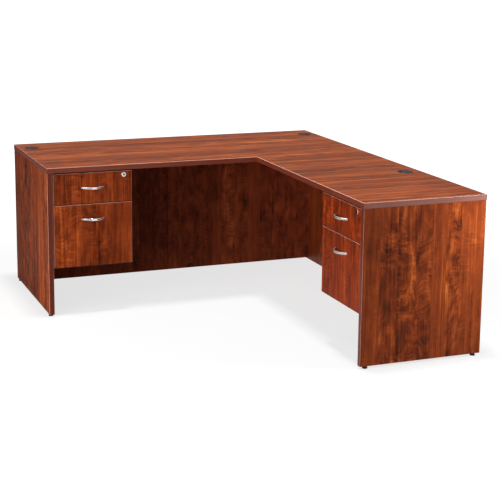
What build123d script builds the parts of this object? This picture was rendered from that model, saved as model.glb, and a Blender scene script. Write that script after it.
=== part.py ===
"""Corner desk: a rectangular desk with a return on its right, a box-and-file pedestal hung under each.

Millimetres. +Z is up, the desk's sitter faces +Y, and the origin is on the floor under the middle of the
whole L-shaped footprint. Every board, rail, lock, grommet and glide is a solid of its own.
"""

import os

from build123d import *

# ---- Driving sizes -------------------------------------------------------------------------------------

DESK_WIDTH = 1680.0
DESK_DEPTH = 762.0
RETURN_LENGTH = 1220.0  # beyond the desk's front edge
RETURN_WIDTH = 600.0
HEIGHT = 737.0

BOARD = 25.4  # tops and end panels
THIN_BOARD = 19.0  # modesty panels
EDGING = 3.0
ARRIS = 1.5  # rounding of the edging's two outer edges
OVERHANG = 1.5  # of the tops past the end panels
GLUE_LINE = 0.2  # between boards of one node, so that each stays a solid of its own

GLIDE_HEIGHT = 12.0
GLIDE_INSET = 30.0
GLIDE_FOOT_RADIUS = 12.0
GLIDE_STEM_RADIUS = 4.0
GLIDE_STEM_LENGTH = 40.0
RUNNING_CLEARANCE = 0.05

MODESTY_SETBACK = 116.0  # desk modesty panel's back face from the desk's rear edge
RETURN_MODESTY_SETBACK = 15.0
MODESTY_BOTTOM = 20.0

GROMMET_HOLE_RADIUS = 31.75
GROMMET_FLANGE_RADIUS = 37.5
GROMMET_FLANGE = 1.8
GROMMET_SIDE_INSET = 64.0
GROMMET_REAR_INSET = 140.0
RETURN_GROMMET_INSET = 82.0
CAP_RADIUS = 29.0
CAP_SLOT = (20.0, 13.0)  # along the rim, and in from it

PEDESTAL_WIDTH = 394.0
PEDESTAL_DEPTH = 540.0  # from the drawer fronts' faces to the back
PEDESTAL_GAP = 3.0  # to the end panel beside it
PEDESTAL_SETBACK = 5.0  # of the drawer fronts behind the top's edge
CARCASS_BOARD = 16.0
CARCASS_START = 20.0  # front edges of the carcass behind the drawer fronts' faces
CARCASS_BOTTOM = 246.0
RAIL_SECTION = (22.0, 12.0)  # depth and height of the rails under the top

FRONT = 18.0
FRONT_WIDTH = 391.0
BOX_FRONT = (553.0, 705.0)  # heights of each front's bottom and top edge
FILE_FRONT = (242.0, 550.0)
WALL = 12.0
WALL_OUTER = 168.3  # drawer walls' outer faces from the pedestal's middle
BOX_WALLS = (567.0, 663.0)
FILE_WALLS = (277.0, 507.0)
DRAWER_BACK = 468.0
DRAWER_BOTTOM = 5.0
BOTTOM_RAISE = 8.0

STEEL = 1.5  # slide rails
SLIDE_RUN = (22.0, 466.0)
BOX_SLIDE_LEVEL = 615.0
FILE_SLIDE_LEVEL = 345.0

HANDLE_DROP = 73.0  # below the front's top edge
HANDLE_HALF_LENGTH = 59.0
HANDLE_REACH = 31.0
HANDLE_FOOT = 12.5
HANDLE_THICKNESS = 5.0
HANDLE_HEIGHT = 11.0
HANDLE_END_HEIGHT = 8.5
HANDLE_SCREW_OFFSET = 50.8

LOCK_INSET = 42.0
LOCK_DROP = 18.0
LOCK_FLANGE_RADIUS = 11.5
LOCK_BARREL_RADIUS = 9.0
LOCK_PLUG_RADIUS = 6.0
LOCK_LENGTH = 44.0
CAM_ARM = 20.0

# ---- Places worked out from them -----------------------------------------------------------------------

LEFT, RIGHT = -DESK_WIDTH / 2, DESK_WIDTH / 2
REAR = (DESK_DEPTH + RETURN_LENGTH) / 2
FRONT_EDGE = REAR - DESK_DEPTH
RETURN_END = -REAR
RETURN_LEFT = RIGHT - RETURN_WIDTH
UNDERSIDE = HEIGHT - BOARD

PANEL_LEFT = (LEFT + OVERHANG, LEFT + OVERHANG + BOARD)
PANEL_RIGHT = (RIGHT - OVERHANG - BOARD, RIGHT - OVERHANG)
PANEL_RETURN = (RETURN_END + OVERHANG, RETURN_END + OVERHANG + BOARD)
PANEL_DEPTH = (FRONT_EDGE + OVERHANG, REAR - OVERHANG)
RETURN_PANEL_WIDTH = (RETURN_LEFT + OVERHANG, RIGHT - OVERHANG)
PANEL_HEIGHT = (GLIDE_HEIGHT, UNDERSIDE)

MODESTY_BACK = REAR - MODESTY_SETBACK
MODESTY = (MODESTY_BACK - THIN_BOARD, MODESTY_BACK)
RETURN_MODESTY = (RIGHT - RETURN_MODESTY_SETBACK - THIN_BOARD, RIGHT - RETURN_MODESTY_SETBACK)
RETURN_MODESTY_RUN = (PANEL_RETURN[1], PANEL_DEPTH[0])

DESK_GROMMETS = [
    (LEFT + GROMMET_SIDE_INSET, REAR - GROMMET_REAR_INSET),
    (RIGHT - GROMMET_SIDE_INSET, REAR - GROMMET_REAR_INSET),
]
RETURN_GROMMET = (RIGHT - RETURN_GROMMET_INSET, FRONT_EDGE - RETURN_LENGTH / 2)

GLIDES = {
    "desk_left_front_glide": (sum(PANEL_LEFT) / 2, PANEL_DEPTH[0] + GLIDE_INSET),
    "desk_left_rear_glide": (sum(PANEL_LEFT) / 2, PANEL_DEPTH[1] - GLIDE_INSET),
    "desk_right_front_glide": (sum(PANEL_RIGHT) / 2, PANEL_DEPTH[0] + GLIDE_INSET),
    "desk_right_rear_glide": (sum(PANEL_RIGHT) / 2, PANEL_DEPTH[1] - GLIDE_INSET),
    "return_left_glide": (RETURN_PANEL_WIDTH[0] + GLIDE_INSET, sum(PANEL_RETURN) / 2),
    "return_right_glide": (RETURN_PANEL_WIDTH[1] - GLIDE_INSET, sum(PANEL_RETURN) / 2),
}

CAM_LEVELS = (97.0, 382.0, 640.0)
CAM_INSET = 43.0  # cams' centres from the end panel that they pull against
CAM_RADIUS = 7.5
CAM_DEPTH = 13.0
CAM_COVER_RADIUS = 8.5
CAM_COVER = 0.8
BOLT_RADIUS = 3.5
BOLT_IN_PANEL = 11.0
FIT = 0.1  # radial play of pieces set into bored holes

BRACKET_LEG = 40.0
BRACKET_WIDTH = 30.0
BRACKET_STEEL = 2.0
PLATE = (90.0, 60.0)
SCREW_RADIUS = 2.0
SCREW_HEAD_RADIUS = 4.0
SCREW_HEAD = 1.6
SCREW_LENGTH = 14.0

# A pedestal's own frame: X to its right, Y into it, Z up from the floor, with its origin below the middle
# of the drawer fronts' faces.
DESK_SEAT = Plane(
    origin=(PANEL_LEFT[1] + PEDESTAL_GAP + PEDESTAL_WIDTH / 2, FRONT_EDGE + PEDESTAL_SETBACK, 0),
    x_dir=(1, 0, 0),
    z_dir=(0, 0, 1),
)
RETURN_SEAT = Plane(
    origin=(RETURN_LEFT + PEDESTAL_SETBACK, PANEL_RETURN[1] + PEDESTAL_GAP + PEDESTAL_WIDTH / 2, 0),
    x_dir=(0, -1, 0),
    z_dir=(0, 0, 1),
)
CARCASS_HALF = PEDESTAL_WIDTH / 2
INSIDE_HALF = CARCASS_HALF - CARCASS_BOARD
LOCK_X = CARCASS_HALF - LOCK_INSET
LOCK_Z = BOX_FRONT[1] - LOCK_DROP


# ---- Shapes used again and again -----------------------------------------------------------------------


def keep(piece, name):
    """Label a finished piece and write it as parts/NAME.step."""
    piece.part.label = name
    export_step(piece.part, f"parts/{name}.step")


def block(x, y, z, mode=Mode.ADD):
    """A box between three pairs of limits, in the frame of the part being built."""
    low_high = [sorted(pair) for pair in (x, y, z)]
    sizes = [high - low for low, high in low_high]
    with Locations(tuple((low + high) / 2 for low, high in low_high)):
        Box(*sizes, mode=mode)


def rod(radius, start, along, length, mode=Mode.ADD):
    """A round bar, or a bore, from a point and along a direction."""
    with Locations(Plane(origin=start, z_dir=along)):
        Cylinder(radius, length, align=(Align.CENTER, Align.CENTER, Align.MIN), mode=mode)


def screw(head_face, along, length=SCREW_LENGTH):
    """A pan-head screw whose head sits on a face and whose shank runs on along a direction."""
    head_face, along = Vector(*head_face), Vector(*along)
    rod(SCREW_HEAD_RADIUS, head_face - along * SCREW_HEAD, along, SCREW_HEAD)
    rod(SCREW_RADIUS, head_face - along * SCREW_HEAD, along, SCREW_HEAD + length)


# ---- Tops and their edging -----------------------------------------------------------------------------


def top_board(x, y, grommets):
    """A laminated top with its round grommet holes."""
    with BuildPart() as board:
        block(x, y, (UNDERSIDE, HEIGHT))
        with Locations(*[(gx, gy, HEIGHT) for gx, gy in grommets]):
            Hole(GROMMET_HOLE_RADIUS)
    return board


desk_top = top_board(
    (LEFT + EDGING, RIGHT - EDGING), (FRONT_EDGE + EDGING, REAR - EDGING), DESK_GROMMETS
)
return_top = top_board(
    (RETURN_LEFT + EDGING, RIGHT - EDGING), (RETURN_END + EDGING, FRONT_EDGE + EDGING), [RETURN_GROMMET]
)


def edging_strip(start, run, inward, width, length):
    """Lay one strip of edging, its two outer arrises rounded, along a board's edge."""
    with BuildSketch(Plane(origin=start, x_dir=inward, z_dir=run)) as section:
        Rectangle(EDGING, width, align=(Align.MIN, Align.CENTER))
        fillet(section.vertices().group_by(Axis.X)[0], ARRIS)
    extrude(section.sketch, amount=length)


MID_TOP = HEIGHT - BOARD / 2
with BuildPart() as top_edging:
    for corner, run, inward, length in (
        ((LEFT, FRONT_EDGE), (1, 0), (0, 1), DESK_WIDTH - RETURN_WIDTH + EDGING),
        ((LEFT, REAR), (1, 0), (0, -1), DESK_WIDTH),
        ((LEFT, FRONT_EDGE + EDGING + GLUE_LINE), (0, 1), (1, 0), DESK_DEPTH - 2 * (EDGING + GLUE_LINE)),
        ((RIGHT, FRONT_EDGE + GLUE_LINE), (0, 1), (-1, 0), DESK_DEPTH - EDGING - 2 * GLUE_LINE),
        ((RETURN_LEFT, RETURN_END + EDGING + GLUE_LINE), (0, 1), (1, 0), RETURN_LENGTH - EDGING - 2 * GLUE_LINE),
        ((RIGHT, RETURN_END + EDGING + GLUE_LINE), (0, 1), (-1, 0), RETURN_LENGTH - EDGING - GLUE_LINE),
        ((RETURN_LEFT, RETURN_END), (1, 0), (0, 1), RETURN_WIDTH),
    ):
        edging_strip((*corner, MID_TOP), (*run, 0), (*inward, 0), BOARD, length)


# ---- End panels, modesty panels and their edging -------------------------------------------------------


def bore_for_glides(names):
    """Blind holes up into a panel's bottom edge for the glides' stems."""
    for name in names:
        stem = GLIDE_STEM_LENGTH + 2.0
        rod(GLIDE_STEM_RADIUS + RUNNING_CLEARANCE, (*GLIDES[name], GLIDE_HEIGHT), (0, 0, 1), stem, Mode.SUBTRACT)


def bolt_holes(face_points, into_panel):
    """Blind holes in a panel's inner face for the cam bolts."""
    for point in face_points:
        rod(BOLT_RADIUS + FIT, point, into_panel, BOLT_IN_PANEL + FIT, Mode.SUBTRACT)


MODESTY_MIDDLE = sum(MODESTY) / 2
RETURN_MODESTY_MIDDLE = sum(RETURN_MODESTY) / 2
LEFT_BOLTS = [(PANEL_LEFT[1], MODESTY_MIDDLE, level) for level in CAM_LEVELS]
RIGHT_BOLTS = [(PANEL_RIGHT[0], MODESTY_MIDDLE, level) for level in CAM_LEVELS]
RETURN_BOLTS = [(RETURN_MODESTY_MIDDLE, PANEL_RETURN[1], level) for level in CAM_LEVELS]

board_depth = (PANEL_DEPTH[0] + EDGING, PANEL_DEPTH[1] - EDGING)
with BuildPart() as desk_left_end_panel:
    block(PANEL_LEFT, board_depth, PANEL_HEIGHT)
    bore_for_glides(("desk_left_front_glide", "desk_left_rear_glide"))
    bolt_holes(LEFT_BOLTS, (-1, 0, 0))

with BuildPart() as desk_right_end_panel:
    block(PANEL_RIGHT, board_depth, PANEL_HEIGHT)
    bore_for_glides(("desk_right_front_glide", "desk_right_rear_glide"))
    bolt_holes(RIGHT_BOLTS, (1, 0, 0))

with BuildPart() as return_end_panel:
    block((RETURN_PANEL_WIDTH[0] + EDGING, RETURN_PANEL_WIDTH[1] - EDGING), PANEL_RETURN, PANEL_HEIGHT)
    bore_for_glides(("return_left_glide", "return_right_glide"))
    bolt_holes(RETURN_BOLTS, (0, -1, 0))

PANEL_RISE = UNDERSIDE - GLIDE_HEIGHT
with BuildPart() as end_panel_edging:
    for middle in (sum(PANEL_LEFT) / 2, sum(PANEL_RIGHT) / 2):
        edging_strip((middle, PANEL_DEPTH[0], GLIDE_HEIGHT), (0, 0, 1), (0, 1, 0), BOARD, PANEL_RISE)
        edging_strip((middle, PANEL_DEPTH[1], GLIDE_HEIGHT), (0, 0, 1), (0, -1, 0), BOARD, PANEL_RISE)
    middle = sum(PANEL_RETURN) / 2
    edging_strip((RETURN_PANEL_WIDTH[0], middle, GLIDE_HEIGHT), (0, 0, 1), (1, 0, 0), BOARD, PANEL_RISE)
    edging_strip((RETURN_PANEL_WIDTH[1], middle, GLIDE_HEIGHT), (0, 0, 1), (-1, 0, 0), BOARD, PANEL_RISE)

with BuildPart() as desk_modesty_panel:
    block((PANEL_LEFT[1], PANEL_RIGHT[0]), MODESTY, (MODESTY_BOTTOM, UNDERSIDE))
    for (x, y, z), side in [(bolt, 1) for bolt in LEFT_BOLTS] + [(bolt, -1) for bolt in RIGHT_BOLTS]:
        rod(BOLT_RADIUS + FIT, (x, y, z), (side, 0, 0), CAM_INSET, Mode.SUBTRACT)
        rod(CAM_RADIUS + FIT, (x + side * CAM_INSET, MODESTY[0], z), (0, 1, 0), CAM_DEPTH + FIT, Mode.SUBTRACT)

with BuildPart() as return_modesty_panel:
    block(RETURN_MODESTY, RETURN_MODESTY_RUN, (MODESTY_BOTTOM, UNDERSIDE))
    for x, y, z in RETURN_BOLTS:
        rod(BOLT_RADIUS + FIT, (x, y, z), (0, 1, 0), CAM_INSET, Mode.SUBTRACT)
        rod(CAM_RADIUS + FIT, (RETURN_MODESTY[0], y + CAM_INSET, z), (1, 0, 0), CAM_DEPTH + FIT, Mode.SUBTRACT)


# ---- Shell hardware ------------------------------------------------------------------------------------


def cam_fastener(bolt_start, towards_cam, cam_face, into_board):
    """A cam in its bore, the thin cover over it, and the bolt it pulls from the end panel."""
    bolt_start, towards_cam = Vector(*bolt_start), Vector(*towards_cam)
    cam_face, into_board = Vector(*cam_face), Vector(*into_board)
    rod(CAM_RADIUS, cam_face + into_board * FIT, into_board, CAM_DEPTH - FIT)
    rod(CAM_COVER_RADIUS, cam_face - into_board * CAM_COVER, into_board, CAM_COVER)
    bolt = BOLT_IN_PANEL + CAM_INSET - CAM_RADIUS - FIT
    rod(BOLT_RADIUS, bolt_start - towards_cam * BOLT_IN_PANEL, towards_cam, bolt)


with BuildPart() as cam_fasteners:
    for (x, y, z), side in [(bolt, 1) for bolt in LEFT_BOLTS] + [(bolt, -1) for bolt in RIGHT_BOLTS]:
        cam_fastener((x, y, z), (side, 0, 0), (x + side * CAM_INSET, MODESTY[0], z), (0, 1, 0))
    for x, y, z in RETURN_BOLTS:
        cam_fastener((x, y, z), (0, 1, 0), (RETURN_MODESTY[0], y + CAM_INSET, z), (1, 0, 0))

# Angle brackets tie the tops to the upright boards: (x, y, direction away from the upright board).
ANGLES = [
    (PANEL_LEFT[1], MODESTY_BACK + 60.0, (1, 0)),
    (PANEL_LEFT[1], MODESTY[0] - 45.0, (1, 0)),
    (PANEL_RIGHT[0], MODESTY_BACK + 60.0, (-1, 0)),
    (PANEL_RIGHT[0], FRONT_EDGE + 80.0, (-1, 0)),
    (RETURN_MODESTY[0], FRONT_EDGE - 90.0, (-1, 0)),
    (RETURN_MODESTY[0], FRONT_EDGE - 520.0, (-1, 0)),
    (-DESK_WIDTH / 4, MODESTY_BACK, (0, 1)),
    (0.0, MODESTY_BACK, (0, 1)),
    (DESK_WIDTH / 4, MODESTY_BACK, (0, 1)),
]
# Flat plates hold the return top against the desk top from below.
PLATES = [(RETURN_LEFT + RETURN_WIDTH * share, FRONT_EDGE + EDGING) for share in (0.25, 0.7)]

PEDESTAL_SCREW_RUN = 24.0
FRONT_RAIL = (CARCASS_START + 1.0, CARCASS_START + 1.0 + RAIL_SECTION[0])
BACK_RAIL_END = PEDESTAL_DEPTH - CARCASS_BOARD - GLUE_LINE
BACK_RAIL = (BACK_RAIL_END - RAIL_SECTION[0], BACK_RAIL_END)
RAIL_BOTTOM = UNDERSIDE - RAIL_SECTION[1]


def bracket_screw_places():
    """Each bracket screw's place on the steel's face, and the direction that it is driven."""
    up = Vector(0, 0, 1)
    for x, y, (away_x, away_y) in ANGLES:
        corner, outward = Vector(x, y, UNDERSIDE), Vector(away_x, away_y, 0)
        yield corner + outward * BRACKET_LEG * 0.6 - up * BRACKET_STEEL, up
        yield corner + outward * BRACKET_STEEL - up * BRACKET_LEG * 0.6, -outward
    for x, y in PLATES:
        for side_x in (-1, 1):
            for side_y in (-1, 1):
                yield Vector(x + side_x * PLATE[0] / 3, y + side_y * PLATE[1] / 3, UNDERSIDE - BRACKET_STEEL), up


with BuildPart() as steel_brackets:
    for x, y, (away_x, away_y) in ANGLES:
        away = Vector(away_x, away_y, 0)
        with BuildSketch(Plane((x, y, UNDERSIDE), x_dir=away, z_dir=Vector(0, 0, 1).cross(away))) as angle:
            with BuildLine():
                Polyline(
                    (0, 0),
                    (BRACKET_LEG, 0),
                    (BRACKET_LEG, BRACKET_STEEL),
                    (BRACKET_STEEL, BRACKET_STEEL),
                    (BRACKET_STEEL, BRACKET_LEG),
                    (0, BRACKET_LEG),
                    close=True,
                )
            make_face()
        extrude(angle.sketch, amount=BRACKET_WIDTH / 2, both=True)
    for x, y in PLATES:
        block(
            (x - PLATE[0] / 2, x + PLATE[0] / 2),
            (y - PLATE[1] / 2, y + PLATE[1] / 2),
            (UNDERSIDE - BRACKET_STEEL, UNDERSIDE),
        )
    for place, along in bracket_screw_places():
        rod(SCREW_RADIUS + FIT, place - along, along, BRACKET_STEEL + 2.0, Mode.SUBTRACT)

with BuildPart() as assembly_screws:
    for place, along in bracket_screw_places():
        screw(place, along)
    for seat in (DESK_SEAT, RETURN_SEAT):
        for side in (-1, 1):
            for rail in (FRONT_RAIL, BACK_RAIL):
                place = seat.from_local_coords((side * INSIDE_HALF * 0.6, sum(rail) / 2, RAIL_BOTTOM))
                screw(place, (0, 0, 1), PEDESTAL_SCREW_RUN)

# ---- Cable grommets ------------------------------------------------------------------------------------

LINER_OUTER = GROMMET_HOLE_RADIUS - 0.2
LINER_INNER = CAP_RADIUS + 0.2
LINER_DEPTH = 22.0
LEDGE_INNER = 25.5
CAP_PLATE = 3.0
LEDGE_TOP = HEIGHT + GROMMET_FLANGE - CAP_PLATE - GLUE_LINE
LEDGE = 1.6
ALL_GROMMETS = [*DESK_GROMMETS, RETURN_GROMMET]

with BuildPart() as grommet_liners:
    for centre in ALL_GROMMETS:
        rod(GROMMET_FLANGE_RADIUS, (*centre, HEIGHT), (0, 0, 1), GROMMET_FLANGE)
        rod(LINER_OUTER, (*centre, HEIGHT - LINER_DEPTH), (0, 0, 1), LINER_DEPTH)
        rod(LINER_INNER, (*centre, LEDGE_TOP), (0, 0, 1), BOARD, Mode.SUBTRACT)
        rod(LEDGE_INNER, (*centre, UNDERSIDE - BOARD), (0, 0, 1), 3 * BOARD, Mode.SUBTRACT)
        skirt = LEDGE_TOP - LEDGE - (HEIGHT - LINER_DEPTH)
        rod(LINER_INNER, (*centre, HEIGHT - LINER_DEPTH), (0, 0, 1), skirt, Mode.SUBTRACT)
    chamfer(grommet_liners.edges().filter_by(GeomType.CIRCLE).group_by(Axis.Z)[-1].sort_by(SortBy.RADIUS)[-3:], 1.0)


def grommet_cap(centre, towards_slot):
    """A round cap with a cable slot in its rim and a short skirt that keeps it turning in the liner."""
    with BuildPart() as cap:
        rod(CAP_RADIUS, (*centre, LEDGE_TOP + GLUE_LINE), (0, 0, 1), CAP_PLATE)
        rod(LEDGE_INNER - 0.3, (*centre, LEDGE_TOP - 2 * LEDGE), (0, 0, 1), 2 * LEDGE + GLUE_LINE)
        rod(LEDGE_INNER - 2.3, (*centre, LEDGE_TOP - 2 * LEDGE), (0, 0, 1), 2 * LEDGE, Mode.SUBTRACT)
        slot_frame = Plane(origin=(*centre, LEDGE_TOP - 3 * LEDGE), x_dir=(*towards_slot, 0), z_dir=(0, 0, 1))
        with BuildSketch(slot_frame.shift_origin(slot_frame.from_local_coords((CAP_RADIUS, 0, 0)))) as slot:
            Rectangle(2 * CAP_SLOT[1], CAP_SLOT[0])
            fillet(slot.vertices().group_by(Axis.X)[0], CAP_SLOT[1] / 4)
        extrude(slot.sketch, amount=4 * CAP_PLATE, mode=Mode.SUBTRACT)
    return cap


CAPS = {
    "grommet_cap_left": (DESK_GROMMETS[0], (0, -1)),
    "grommet_cap_right": (DESK_GROMMETS[1], (0, -1)),
    "grommet_cap_return": (RETURN_GROMMET, (-1, 0)),
}


# ---- Levelling glides ----------------------------------------------------------------------------------

FOOT_HEIGHT = 8.0
NUT_HEIGHT = 3.0


def glide(x, y):
    """A moulded foot with a hexagon to turn it by, and the stem that runs up into the panel."""
    with BuildPart() as piece:
        rod(GLIDE_FOOT_RADIUS, (x, y, 0), (0, 0, 1), FOOT_HEIGHT)
        chamfer(piece.edges().filter_by(GeomType.CIRCLE).group_by(Axis.Z)[-1], 2.5)
        chamfer(piece.edges().filter_by(GeomType.CIRCLE).group_by(Axis.Z)[0], 0.8)
        with BuildSketch(Plane((x, y, FOOT_HEIGHT))):
            RegularPolygon(7.5, 6)
        extrude(amount=NUT_HEIGHT)
        rod(GLIDE_STEM_RADIUS, (x, y, FOOT_HEIGHT), (0, 0, 1), GLIDE_HEIGHT - FOOT_HEIGHT + GLIDE_STEM_LENGTH)
    return piece


# ---- Pedestals -----------------------------------------------------------------------------------------


def channel(side, web, flanges, half_height, run, level):
    """One C-shaped slide rail: a web, with a flange along its top and its bottom edge."""
    block((side * web[0], side * web[1]), run, (level - half_height, level + half_height))
    for edge in (-1, 1):
        heights = (level + edge * half_height, level + edge * (half_height - STEEL))
        block((side * flanges[0], side * flanges[1]), run, heights)


FIXED_WEB = (INSIDE_HALF - STEEL, INSIDE_HALF)
MIDDLE_WEB = (INSIDE_HALF - 4.0, INSIDE_HALF - 4.0 + STEEL)
DRAWER_WEB = (WALL_OUTER, WALL_OUTER + STEEL)
FIXED_FLANGES = (WALL_OUTER + 2.2, INSIDE_HALF)
MIDDLE_FLANGES = (WALL_OUTER + 3.2, MIDDLE_WEB[1])
DRAWER_FLANGES = (WALL_OUTER, MIDDLE_WEB[0] - 1.5)
FIXED_HALF, MIDDLE_HALF, DRAWER_HALF = 22.5, 19.5, 16.5


def pedestal_carcass(seat, prefix):
    """The fixed case of a pedestal: two sides, back, bottom, two rails under the top, and the fixed slide rails."""
    height = (CARCASS_BOTTOM, UNDERSIDE)
    inner_half = INSIDE_HALF - GLUE_LINE
    with BuildPart(seat) as sides:
        for side in (-1, 1):
            block((side * INSIDE_HALF, side * CARCASS_HALF), (CARCASS_START, PEDESTAL_DEPTH), height)
    keep(sides, f"{prefix}_pedestal_sides")
    with BuildPart(seat) as back:
        block((-inner_half, inner_half), (PEDESTAL_DEPTH - CARCASS_BOARD, PEDESTAL_DEPTH), height)
    keep(back, f"{prefix}_pedestal_back")
    with BuildPart(seat) as bottom:
        depth = (CARCASS_START, PEDESTAL_DEPTH - CARCASS_BOARD - GLUE_LINE)
        block((-inner_half, inner_half), depth, (CARCASS_BOTTOM, CARCASS_BOTTOM + CARCASS_BOARD))
    keep(bottom, f"{prefix}_pedestal_bottom")
    with BuildPart(seat) as top_rails:
        for depth in (FRONT_RAIL, BACK_RAIL):
            block((-inner_half, inner_half), depth, (RAIL_BOTTOM, UNDERSIDE))
    keep(top_rails, f"{prefix}_pedestal_top_rails")
    with BuildPart(seat) as fixed_rails:
        for level in (BOX_SLIDE_LEVEL, FILE_SLIDE_LEVEL):
            for side in (-1, 1):
                channel(side, FIXED_WEB, FIXED_FLANGES, FIXED_HALF, SLIDE_RUN, level)
    keep(fixed_rails, f"{prefix}_pedestal_fixed_rails")
    with BuildPart(seat) as middle_rails:
        for side in (-1, 1):
            channel(side, MIDDLE_WEB, MIDDLE_FLANGES, MIDDLE_HALF, SLIDE_RUN, FILE_SLIDE_LEVEL)
    keep(middle_rails, f"{prefix}_file_middle_rails")


def drawer_front(seat, heights, has_lock):
    """A drawer front with eased edges, bored for its handle's screws and, on a box drawer, for the lock."""
    handle_level = heights[1] - HANDLE_DROP
    with BuildPart(seat) as front:
        block((-FRONT_WIDTH / 2, FRONT_WIDTH / 2), (0, FRONT), heights)
        fillet(front.faces().sort_by(Axis(seat.origin, seat.y_dir))[0].edges(), ARRIS)
        for side in (-1, 1):
            place = (side * HANDLE_SCREW_OFFSET, 0, handle_level)
            rod(SCREW_RADIUS + FIT, place, (0, 1, 0), FRONT, Mode.SUBTRACT)
        if has_lock:
            rod(LOCK_BARREL_RADIUS + FIT, (LOCK_X, 0, LOCK_Z), (0, 1, 0), FRONT, Mode.SUBTRACT)
    return front


def handle(seat, level):
    """A bow handle, wider in the middle than at its ends, and its two screws through the drawer front."""
    inner_half = HANDLE_HALF_LENGTH - HANDLE_FOOT
    inner_reach = HANDLE_REACH - HANDLE_THICKNESS
    middle = seat.from_local_coords((0, 0, level))
    with BuildPart() as bow:
        with BuildSketch(Plane(origin=middle, x_dir=seat.x_dir, z_dir=(0, 0, 1))) as plan:
            with BuildLine():
                ThreePointArc((-HANDLE_HALF_LENGTH, 0), (0, -HANDLE_REACH), (HANDLE_HALF_LENGTH, 0))
                Line((HANDLE_HALF_LENGTH, 0), (inner_half, 0))
                ThreePointArc((inner_half, 0), (0, -inner_reach), (-inner_half, 0))
                Line((-inner_half, 0), (-HANDLE_HALF_LENGTH, 0))
            make_face()
        extrude(plan.sketch, amount=HANDLE_HEIGHT, both=True)
        with BuildSketch(Plane(origin=middle, x_dir=seat.x_dir, z_dir=-seat.y_dir)) as elevation:
            with BuildLine():
                half_end, half_middle = HANDLE_END_HEIGHT / 2, HANDLE_HEIGHT / 2
                ThreePointArc((-HANDLE_HALF_LENGTH, half_end), (0, half_middle), (HANDLE_HALF_LENGTH, half_end))
                Line((HANDLE_HALF_LENGTH, half_end), (HANDLE_HALF_LENGTH, -half_end))
                ThreePointArc((HANDLE_HALF_LENGTH, -half_end), (0, -half_middle), (-HANDLE_HALF_LENGTH, -half_end))
                Line((-HANDLE_HALF_LENGTH, -half_end), (-HANDLE_HALF_LENGTH, half_end))
            make_face()
        extrude(elevation.sketch, amount=2 * HANDLE_REACH, both=True, mode=Mode.INTERSECT)
        long_edges = bow.edges().filter_by(lambda edge: edge.length > HANDLE_HALF_LENGTH)
        fillet(long_edges, 1.8)
        for side in (-1, 1):
            foot = seat.from_local_coords((side * HANDLE_SCREW_OFFSET, 0, level))
            rod(1.7, foot, -seat.y_dir, 5.2, Mode.SUBTRACT)
        for side in (-1, 1):
            inside = seat.from_local_coords((side * HANDLE_SCREW_OFFSET, FRONT, level))
            rod(SCREW_HEAD_RADIUS, inside, seat.y_dir, 2.2)
            rod(1.6, inside, -seat.y_dir, FRONT + 5.0)
    return bow


def drawer_walls(seat, heights):
    """A drawer's two sides and its back, as three boards."""
    with BuildPart(seat) as walls:
        for side in (-1, 1):
            block((side * (WALL_OUTER - WALL), side * WALL_OUTER), (FRONT, DRAWER_BACK), heights)
        inner = WALL_OUTER - WALL - GLUE_LINE
        block((-inner, inner), (DRAWER_BACK - WALL, DRAWER_BACK), heights)
    return walls


def drawer_bottom(seat, wall_foot):
    """The thin board that a drawer's walls carry."""
    with BuildPart(seat) as bottom:
        inner = WALL_OUTER - WALL
        foot = wall_foot + BOTTOM_RAISE
        block((-inner, inner), (FRONT, DRAWER_BACK - WALL), (foot, foot + DRAWER_BOTTOM))
    return bottom


def drawer_rails(seat, level):
    """The slide members screwed to a drawer's sides."""
    with BuildPart(seat) as rails:
        for side in (-1, 1):
            channel(side, DRAWER_WEB, DRAWER_FLANGES, DRAWER_HALF, SLIDE_RUN, level)
    return rails


HANGER_WIDTH = 3.0
HANGER_HEIGHT = 14.0


def hanging_rails(seat):
    """Two upright bars on the file drawer's sides that hanging folders hook over."""
    with BuildPart(seat) as bars:
        for side in (-1, 1):
            edge = side * (WALL_OUTER - WALL / 2)
            span = (edge - HANGER_WIDTH / 2, edge + HANGER_WIDTH / 2)
            block(span, (FRONT + 2.0, DRAWER_BACK - 2.0), (FILE_WALLS[1], FILE_WALLS[1] + HANGER_HEIGHT))
    return bars


def lock_body(seat):
    """The lock's fixed barrel, with a flange in front and a bore for the plug."""
    with BuildPart(seat) as body:
        rod(LOCK_FLANGE_RADIUS, (LOCK_X, -3.5, LOCK_Z), (0, 1, 0), 3.5)
        rod(LOCK_BARREL_RADIUS, (LOCK_X, 0, LOCK_Z), (0, 1, 0), LOCK_LENGTH)
        rim = body.edges().filter_by(GeomType.CIRCLE).sort_by(Axis(seat.origin, seat.y_dir))[0]
        fillet(rim, 1.6)
        bore = LOCK_PLUG_RADIUS + RUNNING_CLEARANCE
        rod(bore, (LOCK_X, -5.0, LOCK_Z), (0, 1, 0), LOCK_LENGTH + 10.0, Mode.SUBTRACT)
    return body


def lock_plug(seat):
    """The turning plug with its keyway, and the cam arm behind it."""
    arm_half = 5.0
    with BuildPart(seat) as plug:
        rod(LOCK_PLUG_RADIUS, (LOCK_X, -4.3, LOCK_Z), (0, 1, 0), 4.3 + LOCK_LENGTH + 0.2)
        keyway = (LOCK_X - 0.9, LOCK_X + 0.9)
        block(keyway, (-4.3, -1.3), (LOCK_Z - 3.8, LOCK_Z + 3.8), Mode.SUBTRACT)
        arm = (LOCK_LENGTH + 0.4, LOCK_LENGTH + 3.4)
        block((LOCK_X - CAM_ARM, LOCK_X + arm_half), arm, (LOCK_Z - arm_half, LOCK_Z + arm_half))
    return plug


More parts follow.
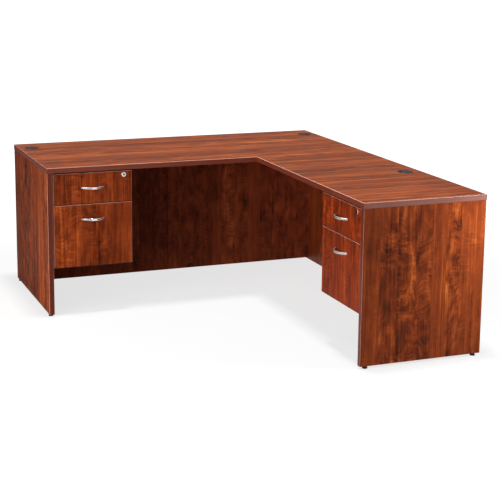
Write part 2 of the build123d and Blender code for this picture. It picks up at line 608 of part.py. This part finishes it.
def drawer(seat, name, heights, walls, slide_level, has_lock):
    """All the pieces of one drawer."""
    keep(drawer_front(seat, heights, has_lock), f"{name}_front")
    keep(handle(seat, heights[1] - HANDLE_DROP), f"{name}_handle")
    keep(drawer_walls(seat, walls), f"{name}_walls")
    keep(drawer_bottom(seat, walls[0]), f"{name}_bottom")
    keep(drawer_rails(seat, slide_level), f"{name}_rails")


# ---- Write every piece ---------------------------------------------------------------------------------

os.makedirs("parts", exist_ok=True)
SHELL = {
    "desk_top": desk_top,
    "return_top": return_top,
    "top_edging": top_edging,
    "desk_left_end_panel": desk_left_end_panel,
    "desk_right_end_panel": desk_right_end_panel,
    "return_end_panel": return_end_panel,
    "end_panel_edging": end_panel_edging,
    "desk_modesty_panel": desk_modesty_panel,
    "return_modesty_panel": return_modesty_panel,
    "cam_fasteners": cam_fasteners,
    "steel_brackets": steel_brackets,
    "assembly_screws": assembly_screws,
    "grommet_liners": grommet_liners,
}
for name, piece in SHELL.items():
    keep(piece, name)
for name, (centre, towards_slot) in CAPS.items():
    keep(grommet_cap(centre, towards_slot), name)
for name, place in GLIDES.items():
    keep(glide(*place), name)
for prefix, seat in (("desk", DESK_SEAT), ("return", RETURN_SEAT)):
    pedestal_carcass(seat, prefix)
    drawer(seat, f"{prefix}_box_drawer", BOX_FRONT, BOX_WALLS, BOX_SLIDE_LEVEL, True)
    drawer(seat, f"{prefix}_file_drawer", FILE_FRONT, FILE_WALLS, FILE_SLIDE_LEVEL, False)
    keep(hanging_rails(seat), f"{prefix}_file_hanging_rails")
    keep(lock_body(seat), f"{prefix}_lock_body")
    keep(lock_plug(seat), f"{prefix}_lock_plug")
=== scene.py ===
"""Looks of the corner desk: the materials of its CAD pieces, with the studio and camera around them."""

import math

import bpy
from mathutils import Euler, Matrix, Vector


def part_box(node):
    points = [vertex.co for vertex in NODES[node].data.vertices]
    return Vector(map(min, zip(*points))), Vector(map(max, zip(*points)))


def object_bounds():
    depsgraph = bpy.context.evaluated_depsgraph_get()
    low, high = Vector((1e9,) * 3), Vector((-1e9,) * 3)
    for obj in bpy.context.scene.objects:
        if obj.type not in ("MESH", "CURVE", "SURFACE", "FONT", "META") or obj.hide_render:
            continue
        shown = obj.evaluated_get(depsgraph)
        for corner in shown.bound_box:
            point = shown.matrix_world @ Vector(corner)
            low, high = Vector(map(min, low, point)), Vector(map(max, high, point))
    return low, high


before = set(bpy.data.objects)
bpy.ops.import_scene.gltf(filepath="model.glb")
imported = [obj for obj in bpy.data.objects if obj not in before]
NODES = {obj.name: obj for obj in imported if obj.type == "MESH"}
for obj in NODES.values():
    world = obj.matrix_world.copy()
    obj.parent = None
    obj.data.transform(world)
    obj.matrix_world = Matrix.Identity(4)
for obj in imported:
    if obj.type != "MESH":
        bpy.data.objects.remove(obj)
cad_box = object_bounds()
X, Y, Z = 0, 1, 2

# ---- Node graphs ---------------------------------------------------------------------------------------


def linear(red, green, blue):
    """A display colour, 0 to 255 a channel, as the linear colour that shaders take."""
    shares = [channel / 255 for channel in (red, green, blue)]
    return (*[s / 12.92 if s <= 0.04045 else ((s + 0.055) / 1.055) ** 2.4 for s in shares], 1.0)


class Graph:
    """A material's nodes. Calls add nodes and return the output socket that carries their result."""

    def __init__(self, name):
        self.material = bpy.data.materials.new(name)
        self.material.use_nodes = True
        self.tree = self.material.node_tree
        self.tree.nodes.clear()
        self.place = self.node("ShaderNodeTexCoord").outputs["Object"]  # metres in the row frame
        self.axes = self.node("ShaderNodeSeparateXYZ", {0: self.place}).outputs

    def node(self, kind, inputs=(), **settings):
        """One new node. Its inputs are given by name or number, as sockets to link or as plain values."""
        made = self.tree.nodes.new(kind)
        for key, value in settings.items():
            setattr(made, key, value)
        for key, value in dict(inputs).items():
            self.feed(made.inputs[key], value)
        return made

    def feed(self, socket, value):
        """Links a socket to an input, or gives the input a plain value."""
        if isinstance(value, bpy.types.NodeSocket):
            self.tree.links.new(value, socket)
        else:
            socket.default_value = value

    def maths(self, operation, first, second=0.0, clamp=False):
        made = self.node("ShaderNodeMath", {0: first, 1: second}, operation=operation, use_clamp=clamp)
        return made.outputs[0]

    def times(self, first, second):
        return self.maths("MULTIPLY", first, second)

    def sum(self, *terms):
        total = terms[0]
        for term in terms[1:]:
            total = self.maths("ADD", total, term)
        return total

    def weighted(self, start, *parts):
        """start plus every part, given as a value and its weight."""
        return self.sum(start, *[self.times(value, weight) for value, weight in parts])

    def share(self, *parts):
        """A half plus the weighted parts, held between 0 and 1."""
        return self.maths("ADD", self.weighted(0.5, *parts), 0.0, clamp=True)

    def point(self, x, y, z=0.0):
        return self.node("ShaderNodeCombineXYZ", {0: x, 1: y, 2: z}).outputs[0]

    def stretched(self, scales):
        """The place, with each of its axes multiplied by its own scale."""
        return self.point(*[self.times(axis, scale) for axis, scale in zip(self.axes, scales)])

    def noise(self, place, scale=1.0, detail=1.0, roughness=0.5):
        """Noise about zero, roughly from -0.5 to 0.5."""
        inputs = {"Vector": place, "Scale": scale, "Detail": detail, "Roughness": roughness}
        return self.sum(self.node("ShaderNodeTexNoise", inputs).outputs[0], -0.5)

    def smooth(self, value, low, high, to_low=0.0, to_high=1.0):
        """to_low below low, to_high above high, and a smooth step between them."""
        inputs = {0: value, 1: low, 2: high, 3: to_low, 4: to_high}
        return self.node("ShaderNodeMapRange", inputs, interpolation_type="SMOOTHSTEP").outputs[0]

    def ramp(self, value, *stops):
        """A colour ramp through (place, colour) stops."""
        made = self.node("ShaderNodeValToRGB", {0: value})
        elements = made.color_ramp.elements
        while len(elements) < len(stops):
            elements.new(0.5)
        for element, (place, colour) in zip(elements, stops):
            element.position = place
            element.color = colour
        return made.outputs[0]

    def mix(self, share, first, second, blend="MIX"):
        inputs = {0: share, 6: first, 7: second}
        return self.node("ShaderNodeMix", inputs, data_type="RGBA", blend_type=blend).outputs[2]

    def bump(self, height, depth):
        """A normal from a height that runs over about one unit, depth metres high."""
        return self.node("ShaderNodeBump", {"Height": height, "Distance": depth}).outputs[0]

    def surface(self, **sockets):
        """Ends the graph in a Principled shader. Socket names are given with _ for a space."""
        shader = self.node("ShaderNodeBsdfPrincipled")
        for name, value in sockets.items():
            self.feed(shader.inputs[name.replace("_", " ")], value)
        output = self.node("ShaderNodeOutputMaterial")
        self.tree.links.new(shader.outputs[0], output.inputs["Surface"])
        return self.material


# ---- Cherry laminate -----------------------------------------------------------------------------------

CHERRY = (  # from the darkest blotches to the lightest flames
    (0.00, linear(42, 19, 14)),
    (0.20, linear(82, 36, 21)),
    (0.42, linear(126, 55, 28)),
    (0.62, linear(165, 75, 36)),
    (0.82, linear(206, 103, 47)),
    (1.00, linear(233, 132, 66)),
)
CHERRY_MIDDLE = 0.53  # the place between those colours before tone and figure are added
NO_TINT = (1.0, 1.0, 1.0, 1.0)
LAMINATE_ROUGHNESS = 0.42
LAMINATE_RELIEF = 0.00008  # metres

PLANKS_PER_METRE = 12.5
PLANK_WANDER = 1.3  # how unevenly the planks are cut, in planks
WANDERS_PER_METRE = 3.1
SEED_SHIFT = 0.37  # how far one step of the seed moves the cuts, in planks
FIGURED_DRAWS = (0.1, 0.7)  # the draws, from 0 to 1, that give a plank the least and the most figure
FIGURED_SHARES = (0.3, 1.0)  # the least and the most figure in a plank
PLANK_LAYERS = 50.0  # how far apart in the noise the planks are drawn from
SEAM = (0.47, 0.5)  # how far from a plank's middle its seam begins and ends, in planks

# The noise fields of the print: scales a metre along and across the grain, layer, detail and roughness
FIELDS = {
    "bend_along": (6.5, 10.0, 0.0, 1.0, 0.5),
    "bend_across": (6.5, 10.0, 3.7, 1.0, 0.5),
    "sway": (1.8, 3.0, 1.9, 1.0, 0.5),
    "clouds": (4.5, 6.5, 9.3, 2.0, 0.5),
    "flames": (12.0, 30.0, 7.1, 4.0, 0.62),
    "blotches": (9.0, 15.0, 12.3, 3.0, 0.62),
    "bands": (0.9, 17.0, 17.0, 1.5, 0.5),
    "streaks": (2.2, 64.0, 23.0, 2.5, 0.65),
    "lines": (1.4, 130.0, 26.0, 1.0, 0.5),
    "fine": (8.0, 420.0, 29.0, 2.0, 0.5),
    "curly_places": (5.0, 9.0, 41.0, 1.0, 0.5),
    "curl": (105.0, 24.0, 47.0, 1.5, 0.5),
}
BEND_ALONG, BEND_ACROSS = 0.11, 0.08  # how far the figure bends, in metres
SWAY = 0.030  # how far the straight grain sways, in metres
CURLY = (-0.15, 0.12)  # the curl grows from nothing to full between these levels of curly_places
BLOTCHED = (0.0, 0.24)  # dark blotches grow from nothing to full between these levels of blotches
RINGS_PER_METRE = 7.0
ARCH_RISE = 2.6  # how steeply the rings' arches drop towards a plank's sides
RING_SHIFT = 0.3  # how far one layer moves a plank's rings


class Grain:
    """The print of one board: u runs along its grain and v across it, and it is cut into planks.

    The straight grain sways a little. The figure is drawn in bent coordinates, and each plank has its own
    tone, its own layer of the noise and its own share of figure.
    """

    def __init__(self, graph, along, across, seed, figure, length):
        self.graph = graph
        self.seed = seed
        u = graph.times(graph.axes[along], 1.0 / length)
        v = graph.axes[across]
        self.v = v
        self.straight = (u, v)
        self.cut_planks()
        bend_along = self.field("bend_along", self.straight)
        self.bend_across = self.field("bend_across", self.straight)
        bent_u = graph.weighted(u, (graph.times(bend_along, self.figured), BEND_ALONG * figure))
        bent_v = graph.weighted(v, (graph.times(self.bend_across, self.figured), BEND_ACROSS * figure))
        self.bent = (bent_u, bent_v)
        self.half_bent = (u, bent_v)
        self.swaying = (u, graph.weighted(v, (self.field("sway", self.straight), SWAY)))

    def cut_planks(self):
        """Cuts the board across v, and draws three numbers from 0 to 1 for each plank."""
        graph = self.graph
        wander = graph.noise(graph.point(graph.times(self.v, WANDERS_PER_METRE), self.seed), detail=0.0)
        start = self.seed * SEED_SHIFT
        planks = graph.weighted(start, (self.v, PLANKS_PER_METRE), (wander, PLANK_WANDER))
        number = {"W": graph.sum(graph.maths("FLOOR", planks), self.seed)}
        chance = graph.node("ShaderNodeTexWhiteNoise", number, noise_dimensions="1D").outputs["Color"]
        draws = graph.node("ShaderNodeSeparateColor", {0: chance}).outputs
        self.across_plank = graph.sum(graph.maths("FRACT", planks), -0.5)
        self.plank_tone = graph.sum(draws[0], -0.5)
        self.figured = graph.smooth(draws[1], *FIGURED_DRAWS, *FIGURED_SHARES)
        self.layer = graph.times(draws[2], PLANK_LAYERS)

    def field(self, name, place):
        """One of FIELDS over a place, which is a pair of sockets along and across the grain."""
        graph = self.graph
        along, across, layer, detail, roughness = FIELDS[name]
        spot = graph.point(
            graph.times(place[0], along),
            graph.times(place[1], across),
            graph.sum(self.layer, self.seed + layer),
        )
        return graph.noise(spot, detail=detail, roughness=roughness)

    def rings(self):
        """Growth rings in nested arches, one set to a plank, from -1 to 1."""
        graph = self.graph
        rise = graph.times(self.across_plank, self.across_plank)
        arches = ((rise, ARCH_RISE), (self.bent[0], RINGS_PER_METRE), (self.layer, RING_SHIFT))
        rings = graph.weighted(self.bend_across, *arches)
        return graph.times(graph.maths("SINE", graph.times(rings, math.tau)), self.figured)

    def curl(self):
        """Fine ripples across the grain, which come and go."""
        graph = self.graph
        curly = graph.smooth(self.field("curly_places", self.straight), *CURLY)
        return graph.times(graph.times(self.field("curl", self.bent), curly), self.figured)

    def seams(self):
        """1 along the planks' sides and 0 inside them."""
        return self.graph.smooth(self.graph.maths("ABSOLUTE", self.across_plank), *SEAM)


def cherry(
    name, along, across, seed, tone=0.0, figure=1.0, smoke=1.0, ripple=1.0, threads=1.0, gloss=0.10,
    tint=NO_TINT, length=1.0, lean=0.0
):
    """Printed cherry laminate with its grain along one axis.

    figure, smoke, ripple and threads are the shares of its flames and rings, its dark clouds, its curl and
    its straight threads. length draws the print out along the grain, tone is how much lighter the board is,
    and lean is how fast that changes across it, a metre. tint multiplies the colour.
    """
    graph = Graph(name)
    grain = Grain(graph, along, across, seed, figure, length)
    clouds = grain.field("clouds", grain.bent)
    flames = graph.times(grain.field("flames", grain.bent), grain.figured)
    dark = graph.times(graph.smooth(grain.field("blotches", grain.bent), *BLOTCHED), grain.figured)
    bands = grain.field("bands", grain.swaying)
    streaks = grain.field("streaks", grain.swaying)
    lines = grain.field("lines", grain.swaying)
    fine = grain.field("fine", grain.half_bent)
    value = graph.weighted(
        CHERRY_MIDDLE + tone,
        (grain.v, lean),
        (grain.plank_tone, 0.11),
        (clouds, 0.36 * smoke),
        (grain.rings(), 0.04 * figure),
        (flames, 0.80 * figure),
        (bands, 0.34),
        (streaks, 0.42 * threads),
        (lines, 0.34 * threads),
        (fine, 0.24 * threads),
        (dark, -0.22 * smoke),
        (grain.curl(), 0.50 * ripple),
        (grain.seams(), -0.05),
    )
    return graph.surface(
        Base_Color=graph.mix(1.0, graph.ramp(value, *CHERRY), tint, blend="MULTIPLY"),
        Roughness=graph.weighted(LAMINATE_ROUGHNESS, (fine, 0.10), (streaks, 0.06)),
        Specular_IOR_Level=gloss,
        Normal=graph.bump(graph.weighted(fine, (streaks, 0.5)), LAMINATE_RELIEF),
    )


# ---- Other materials -----------------------------------------------------------------------------------
# Their tones are the dark and the light colour that they vary between.


def edging(name, along, tones, gloss=0.28):
    """Plain extruded edging with faint lines along its run."""
    graph = Graph(name)
    scales = [6.0 if axis == along else 380.0 for axis in (X, Y, Z)]
    lines = graph.noise(graph.stretched(scales), detail=2.0)
    clouds = graph.noise(graph.place, scale=9.0, detail=2.0)
    return graph.surface(
        Base_Color=graph.mix(graph.share((lines, 0.9), (clouds, 0.5)), *tones),
        Roughness=graph.weighted(0.36, (lines, 0.15)),
        Specular_IOR_Level=gloss,
        Normal=graph.bump(lines, 0.00006),
    )


def plastic(name, tones, roughness):
    """Moulded plastic with a fine spark-eroded grain."""
    graph = Graph(name)
    pits = graph.noise(graph.place, scale=2600.0, detail=2.0)
    clouds = graph.noise(graph.place, scale=60.0, detail=2.0)
    return graph.surface(
        Base_Color=graph.mix(graph.share((clouds, 1.2)), *tones),
        Roughness=graph.weighted(roughness, (pits, 0.2)),
        Specular_IOR_Level=0.45,
        Normal=graph.bump(pits, 0.00005),
    )


def metal(name, tones, roughness, stretch=(90.0, 90.0, 900.0), spread=0.12, metallic=1.0):
    """Metal that varies in fine lines, stretched as its finish runs. spread is how much its gloss varies."""
    graph = Graph(name)
    lines = graph.noise(graph.stretched(stretch), detail=3.0)
    clouds = graph.noise(graph.place, scale=45.0, detail=3.0)
    return graph.surface(
        Base_Color=graph.mix(graph.share((lines, 1.0), (clouds, 1.3)), *tones),
        Metallic=metallic,
        Roughness=graph.weighted(roughness, (lines, spread), (clouds, spread)),
        Normal=graph.bump(lines, 0.00002),
    )


FOIL = ((0.0, linear(150, 118, 84)), (0.5, linear(191, 160, 122)), (1.0, linear(216, 190, 156)))


def drawer_board(name, along, across, seed):
    """Pale foil-wrapped board with a faint straight grain."""
    graph = Graph(name)
    u, v = graph.axes[along], graph.axes[across]
    streaks = graph.noise(graph.point(graph.times(u, 2.0), graph.times(v, 60.0), seed), detail=2.5)
    threads = graph.noise(graph.point(graph.times(u, 9.0), graph.times(v, 520.0), seed + 5.0), detail=2.0)
    return graph.surface(
        Base_Color=graph.ramp(graph.weighted(0.5, (streaks, 0.8), (threads, 0.5)), *FOIL),
        Roughness=graph.weighted(0.48, (threads, 0.12)),
        Specular_IOR_Level=0.35,
        Normal=graph.bump(threads, 0.00006),
    )


EDGE_TONES = (linear(108, 46, 32), linear(147, 70, 50))
# The end panels' edging is the tops' edging painted darker, as painted shade.
UPRIGHT_SHADE_TONES = (linear(96, 38, 25), linear(130, 58, 40))
# The return end's flat edging face is painted lighter and greyer than the rest, as a painted sheen.
END_SHEEN_TONES = (linear(138, 88, 78), linear(168, 114, 102))
HIGHLIGHT_ARRIS_TONES = (linear(222, 158, 138), linear(246, 192, 172))  # roundings, painted pale as a highlight where light falls on them
PAINTED_SHADE_TONES = (linear(38, 15, 11), linear(58, 24, 17))  # edges in the gaps around the drawer fronts and roundings that face down, painted dark as shade
EDGE = {axis: edging(f"edging_along_{'xyz'[axis]}", axis, EDGE_TONES) for axis in (X, Y)}
HIGHLIGHT_ARRIS = {axis: edging(f"painted_highlight_arris_along_{'xyz'[axis]}", axis, HIGHLIGHT_ARRIS_TONES) for axis in (X, Y, Z)}
PAINTED_SHADE = {axis: edging(f"painted_shade_edging_along_{'xyz'[axis]}", axis, PAINTED_SHADE_TONES) for axis in (X, Y)}
UPRIGHT_SHADE_EDGE = edging("edging_of_end_panels_painted_shade", Z, UPRIGHT_SHADE_TONES, gloss=0.12)
END_SHEEN_EDGE = edging("edging_of_return_end_painted_sheen", X, END_SHEEN_TONES)
BLACK = plastic("black_plastic", (linear(22, 23, 25), linear(34, 36, 38)), 0.5)
COVER = plastic("cover_plastic", (linear(96, 44, 26), linear(122, 60, 36)), 0.45)
NICKEL = metal("satin_nickel", (linear(232, 228, 220), linear(248, 245, 240)), 0.15, metallic=0.8)
CHROME = metal("lock_chrome", (linear(214, 214, 212), linear(238, 238, 236)), 0.14, spread=0.05)
PLUG_STEEL = metal("plug_steel", (linear(92, 104, 108), linear(126, 138, 142)), 0.26)
ZINC = metal("zinc_plate", (linear(160, 162, 164), linear(196, 198, 200)), 0.38)
SLIDE_TONES = (linear(158, 161, 166), linear(194, 197, 201))
SLIDE = metal("slide_steel", SLIDE_TONES, 0.34, stretch=(120.0, 120.0, 1400.0))


# ---- Giving the CAD nodes their materials --------------------------------------------------------------

SQUARE = 0.995  # a face this square to an axis is a flat one, not part of a rounding
LOOKS_DOWN = -0.1  # a face whose normal is lower than this faces the floor


def dress(name, materials, choose=None):
    """Give a CAD node its materials. choose(polygon) gives the place of a polygon's material in the list."""
    piece = NODES[name]
    piece.data.materials.clear()
    for material in materials:
        piece.data.materials.append(material)
    if choose:
        for polygon in piece.data.polygons:
            polygon.material_index = choose(polygon)


def front_material(deep):
    """Chooses for a drawer front: 0 on its faces, 2 on roundings that light falls on, painted pale as a
    highlight, and 1 on the rest, painted dark as shade.
    """

    def choose(polygon):
        sizes = [abs(part) for part in polygon.normal]
        if sizes[deep] > SQUARE:
            return 0
        return 1 if max(sizes) > SQUARE or polygon.normal.z < LOOKS_DOWN else 2

    return choose


# The tops' tint lifts their green and blue, as a painted sheen.
TOP_SHEEN_TINT = (1.02, 1.18, 1.28, 1.0)
# The modesty panel's tint lifts its blue and lowers its red a little, as a painted sheen.
MODESTY_SHEEN_TINT = (0.93, 1.0, 1.45, 1.0)
FRONT_TINTS = {"desk": (1.0, 0.90, 0.84, 1.0), "return": (0.98, 0.71, 0.63, 1.0)}

TOP_WOOD = cherry(
    "cherry_tops", X, Y, 2.7, figure=0.9, smoke=0.6, ripple=0.4, threads=1.8, gloss=0.04, tint=TOP_SHEEN_TINT,
    length=1.6
)
for node in ("desk_top", "return_top"):
    dress(node, [TOP_WOOD])

# lean makes the left end panel darker towards its rear.
LEFT_END_WOOD = cherry(
    "cherry_left_end", Z, Y, 11.3, tone=0.19, smoke=1.2, threads=1.5, gloss=0.03, lean=-0.36
)
RETURN_END_WOOD = cherry("cherry_return_end", Z, X, 5.1, figure=1.3, ripple=1.5, threads=1.15, gloss=0.08)
MODESTY_WOOD = cherry("cherry_modesty", Z, X, 33.6, figure=0.8, threads=0.6, gloss=0.05, tint=MODESTY_SHEEN_TINT)
dress("desk_left_end_panel", [LEFT_END_WOOD])
dress("desk_right_end_panel", [cherry("cherry_right_end", Z, Y, 27.9)])
dress("return_end_panel", [RETURN_END_WOOD])
dress("desk_modesty_panel", [MODESTY_WOOD])
dress("return_modesty_panel", [cherry("cherry_return_modesty", Z, Y, 46.2)])

# The tops' edging strips at the rear and on the right lie beyond these places, and the others before theirs
REAR_STRIP = cad_box[1][1] - 0.005
RIGHT_STRIP = cad_box[1][0] - 0.005
LEFT_STRIP = cad_box[0][0] + 0.003
END_STRIP = cad_box[0][1] + 0.003
LEFT_HIGHLIGHTED = (0.4, 0.9)  # the left strip's rounding gets the painted highlight where its normals are between these heights
HIGHLIGHTED_AFTER = 2  # how far after the plain edging the edging with the painted highlight comes in the list
ON_RETURN_END = 4


def strip_material(polygon):
    """Chooses for the tops' edging: plain or painted pale as a highlight, each along X or Y, or the return
    end's own flat face, painted lighter as a sheen.
    """
    x, y, z = (abs(part) for part in polygon.normal)
    centre = polygon.center
    if centre.y < END_STRIP and y > SQUARE:
        return ON_RETURN_END
    behind = centre.y > REAR_STRIP or centre.x > RIGHT_STRIP
    highlighted = max(x, y) < SQUARE and polygon.normal.z > LOOKS_DOWN and not behind
    if centre.x < LEFT_STRIP and not LEFT_HIGHLIGHTED[0] < z < LEFT_HIGHLIGHTED[1]:
        highlighted = False
    along = Y if x > y else X
    return along + (HIGHLIGHTED_AFTER if highlighted else 0)


dress("top_edging", [EDGE[X], EDGE[Y], HIGHLIGHT_ARRIS[X], HIGHLIGHT_ARRIS[Y], END_SHEEN_EDGE], strip_material)

RETURN_STRIPS = cad_box[0][1] + 0.1  # the return end panel's strips lie before this y
REAR_STRIPS = cad_box[1][1] - 0.2  # the desk end panels' rear strips lie beyond this y
SQUARE_ON_RETURN = 0.92  # on the return only the middle of a rounding, less square than this, gets the painted highlight


def upright_strip_material(polygon):
    """Chooses for the end panels' edging: 1 on roundings painted pale as a highlight and 0 on the rest."""
    squareness = max(abs(part) for part in polygon.normal)
    flat = SQUARE_ON_RETURN if polygon.center.y < RETURN_STRIPS else SQUARE
    return 0 if polygon.center.y > REAR_STRIPS or squareness > flat else 1


dress("end_panel_edging", [UPRIGHT_SHADE_EDGE, HIGHLIGHT_ARRIS[Z]], upright_strip_material)


def dress_drawer(prefix, part, wide, deep, seed):
    """A drawer of one pedestal. wide is the axis across its front, and deep the one into it."""
    name = f"{prefix}_{part}"
    tint = FRONT_TINTS[prefix]
    wood = cherry(
        f"cherry_{name}_front", Z, wide, seed, figure=0.8, ripple=1.3, threads=1.2, gloss=0.03, tint=tint
    )
    dress(f"{name}_drawer_front", [wood, PAINTED_SHADE[wide], HIGHLIGHT_ARRIS[wide]], front_material(deep))
    dress(f"{name}_drawer_walls", [drawer_board(f"{name}_drawer_board", deep, Z, seed)])
    dress(f"{name}_drawer_bottom", [drawer_board(f"{name}_base_board", deep, wide, seed + 7)])
    dress(f"{name}_drawer_rails", [SLIDE])
    dress(f"{name}_drawer_handle", [NICKEL])


def dress_pedestal(prefix, wide, deep, seed):
    """A pedestal with its two drawers, slides and lock."""
    for part, shift in (("box", 0.0), ("file", 0.37)):
        dress_drawer(prefix, part, wide, deep, seed + shift)
    # The pedestal bottom and top rails are painted darker, as painted shade under the pedestal and in the gap
    # above the drawer fronts.
    shaded_level_wood = cherry(f"cherry_{prefix}_case_bottom_painted_shade", deep, wide, seed + 4.9, tone=-0.25)
    side_wood = cherry(f"cherry_{prefix}_case_sides", Z, deep, seed + 1.9, tone=-0.04)
    back_wood = cherry(f"cherry_{prefix}_case_back", Z, wide, seed + 3.3, tone=-0.04)
    dress(f"{prefix}_pedestal_sides", [side_wood])
    dress(f"{prefix}_pedestal_back", [back_wood])
    for node in ("pedestal_bottom", "pedestal_top_rails"):
        dress(f"{prefix}_{node}", [shaded_level_wood])
    for rails in ("pedestal_fixed_rails", "file_middle_rails", "file_hanging_rails"):
        dress(f"{prefix}_{rails}", [SLIDE])
    dress(f"{prefix}_lock_body", [CHROME])
    dress(f"{prefix}_lock_plug", [PLUG_STEEL])


dress_pedestal("desk", X, Y, 60.0)
dress_pedestal("return", Y, X, 80.0)

MODESTY_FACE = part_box("desk_modesty_panel")[0].y
RETURN_MODESTY_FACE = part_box("return_modesty_panel")[0].x


def fastener_material(polygon):
    """1 on the covers that stand in front of the modesty panels, and 0 on the cams and bolts behind them."""
    centre = polygon.center
    before_desk_panel = centre.y < MODESTY_FACE and centre.y > 0
    before_return_panel = centre.x < RETURN_MODESTY_FACE and centre.y < 0
    return 1 if before_desk_panel or before_return_panel else 0


dress("cam_fasteners", [ZINC, COVER], fastener_material)
for node in ("steel_brackets", "assembly_screws"):
    dress(node, [ZINC])
for node in NODES:
    if "grommet" in node or "glide" in node:
        dress(node, [BLACK])


# ---- Studio --------------------------------------------------------------------------------------------

STUDIO_CENTRE = Vector((0.1, 0.0, 0.4))
RETURN_END_HIGH = (0.72, -0.99, 0.60)  # high on the return end panel's face


def softbox(name, place, target, size, watts, mirrored=True):
    """A rectangular studio light that looks at a point. Glossy surfaces mirror it if mirrored is true."""
    light = bpy.data.lights.new(name, "AREA")
    light.shape = "RECTANGLE"
    light.size, light.size_y = size
    light.energy = watts
    stand = bpy.data.objects.new(name, light)
    stand.location = place
    stand.rotation_euler = (Vector(target) - Vector(place)).to_track_quat("-Z", "Y").to_euler()
    stand.visible_camera = False
    stand.visible_glossy = mirrored
    bpy.context.scene.collection.objects.link(stand)


def around(bearing, rise, reach):
    """A place around the desk: bearing is 0 in front and 90 on its right, rise is above the horizon."""
    turn, lift = math.radians(bearing), math.radians(rise)
    way = Vector((math.sin(turn) * math.cos(lift), -math.cos(turn) * math.cos(lift), math.sin(lift)))
    return STUDIO_CENTRE + way * reach


softbox("left_front_box", around(-62.0, 10.0, 5.5), STUDIO_CENTRE, (2.8, 1.6), 113.0)
softbox("left_box", around(-78.0, 10.0, 5.5), STUDIO_CENTRE, (2.4, 1.6), 36.0)
softbox("front_box", around(-40.0, 12.0, 5.5), STUDIO_CENTRE, (2.0, 1.8), 28.0)
softbox("high_left_box", around(-50.0, 60.0, 5.5), STUDIO_CENTRE, (1.6, 1.6), 24.0)
softbox("overhead_box", (-0.1, -0.2, 8.0), (-0.1, -0.2, 0.0), (1.1, 1.1), 400.0)
softbox("right_front_box", around(60.0, 35.0, 5.5), STUDIO_CENTRE, (2.0, 1.8), 35.0)
softbox("right_card", around(72.0, 8.0, 3.4), STUDIO_CENTRE, (1.2, 0.8), 10.0)
softbox("return_end_fill", (1.15, -1.37, 0.67), RETURN_END_HIGH, (0.3, 0.1), 3.7, mirrored=False)

WHITE = (1.0, 1.0, 1.0, 1.0)
FLOOR_HALF = 40.0  # metres from the middle of the floor to its sides
FLOOR_TONES = (linear(137, 137, 137), linear(143, 143, 143))
FLOOR_GLOW = (0.74, 1.1)  # what the floor shines to the eye around the desk, and far from it
GLOW_REACH = (1.4, 4.0)  # the first glow holds this far from the middle, and the second from here on
FLOOR_MIRRORED = 0.8  # what it shines into reflections, but only right of the desk's left side
MIRRORED_START = (cad_box[0][0] - 0.02, cad_box[0][0])  # across these x it grows from nothing to full
FLOOR_LIGHT = 0.04  # what it shines onto other surfaces


def studio_floor():
    """A pale floor that runs out of sight. It shines a little by itself, so that shadows on it stay light."""
    graph = Graph("studio_floor")
    x, y = graph.axes[X], graph.axes[Y]
    grain = graph.noise(graph.place, scale=3.0, detail=3.0)
    rays = graph.node("ShaderNodeLightPath").outputs
    distance = graph.maths("SQRT", graph.sum(graph.times(x, x), graph.times(y, y)))
    seen = graph.times(rays["Is Camera Ray"], graph.smooth(distance, *GLOW_REACH, *FLOOR_GLOW))
    mirrored = graph.times(rays["Is Glossy Ray"], graph.smooth(x, *MIRRORED_START, 0.0, FLOOR_MIRRORED))
    material = graph.surface(
        Base_Color=graph.ramp(graph.sum(0.5, grain), (0.0, FLOOR_TONES[0]), (1.0, FLOOR_TONES[1])),
        Roughness=0.9,
        Specular_IOR_Level=0.0,
        Emission_Color=WHITE,
        Emission_Strength=graph.maths("MAXIMUM", graph.sum(seen, mirrored), FLOOR_LIGHT),
    )
    corners = [(x * FLOOR_HALF, y * FLOOR_HALF, 0.0) for x, y in ((-1, -1), (1, -1), (1, 1), (-1, 1))]
    mesh = bpy.data.meshes.new("studio_floor")
    mesh.from_pydata(corners, [], [(0, 1, 2, 3)])
    mesh.materials.append(material)
    floor = bpy.data.objects.new("studio_floor", mesh)
    bpy.context.scene.collection.objects.link(floor)


studio_floor()

WORLD_SEEN, WORLD_MIRRORED, WORLD_LIGHT = 1.2, 0.38, 0.08  # strength to the eye, in gloss and as light


def studio_world():
    """White to look at, greyer in reflections, and a dim even light on the desk."""
    world = bpy.data.worlds.new("studio")
    world.use_nodes = True
    tree = world.node_tree
    background = tree.nodes["Background"]
    background.inputs[0].default_value = WHITE
    rays = tree.nodes.new("ShaderNodeLightPath").outputs

    def choice(kind, level, strength):
        """A strength for one kind of ray, and another strength, a number or a socket, for the others."""
        mix = tree.nodes.new("ShaderNodeMix")
        tree.links.new(rays[kind], mix.inputs[0])
        mix.inputs[3].default_value = level
        if isinstance(strength, bpy.types.NodeSocket):
            tree.links.new(strength, mix.inputs[2])
        else:
            mix.inputs[2].default_value = strength
        return mix.outputs[0]

    lit = choice("Is Glossy Ray", WORLD_MIRRORED, WORLD_LIGHT)
    tree.links.new(choice("Is Camera Ray", WORLD_SEEN, lit), background.inputs[1])
    bpy.context.scene.world = world


studio_world()

CAMERA_PLACE = (-2.2313, -5.9283, 1.8729)
CAMERA_TURN = (78.423, -0.582, -21.460)  # degrees about X, Y and Z
SENSOR_WIDTH, FOCAL_LENGTH = 36.0, 95.8  # millimetres
CAMERA_SHIFT = -0.1
VIEW_END = 200.0


def camera():
    """The viewpoint: left of the middle, a little above the tops, with a long lens."""
    lens = bpy.data.cameras.new("camera")
    lens.sensor_width = SENSOR_WIDTH
    lens.lens = FOCAL_LENGTH
    lens.shift_y = CAMERA_SHIFT
    lens.clip_end = VIEW_END
    stand = bpy.data.objects.new("camera", lens)
    stand.location = CAMERA_PLACE
    stand.rotation_euler = Euler([math.radians(turn) for turn in CAMERA_TURN])
    bpy.context.scene.collection.objects.link(stand)
    bpy.context.scene.camera = stand


camera()
bpy.context.scene.view_settings.view_transform = "Standard"
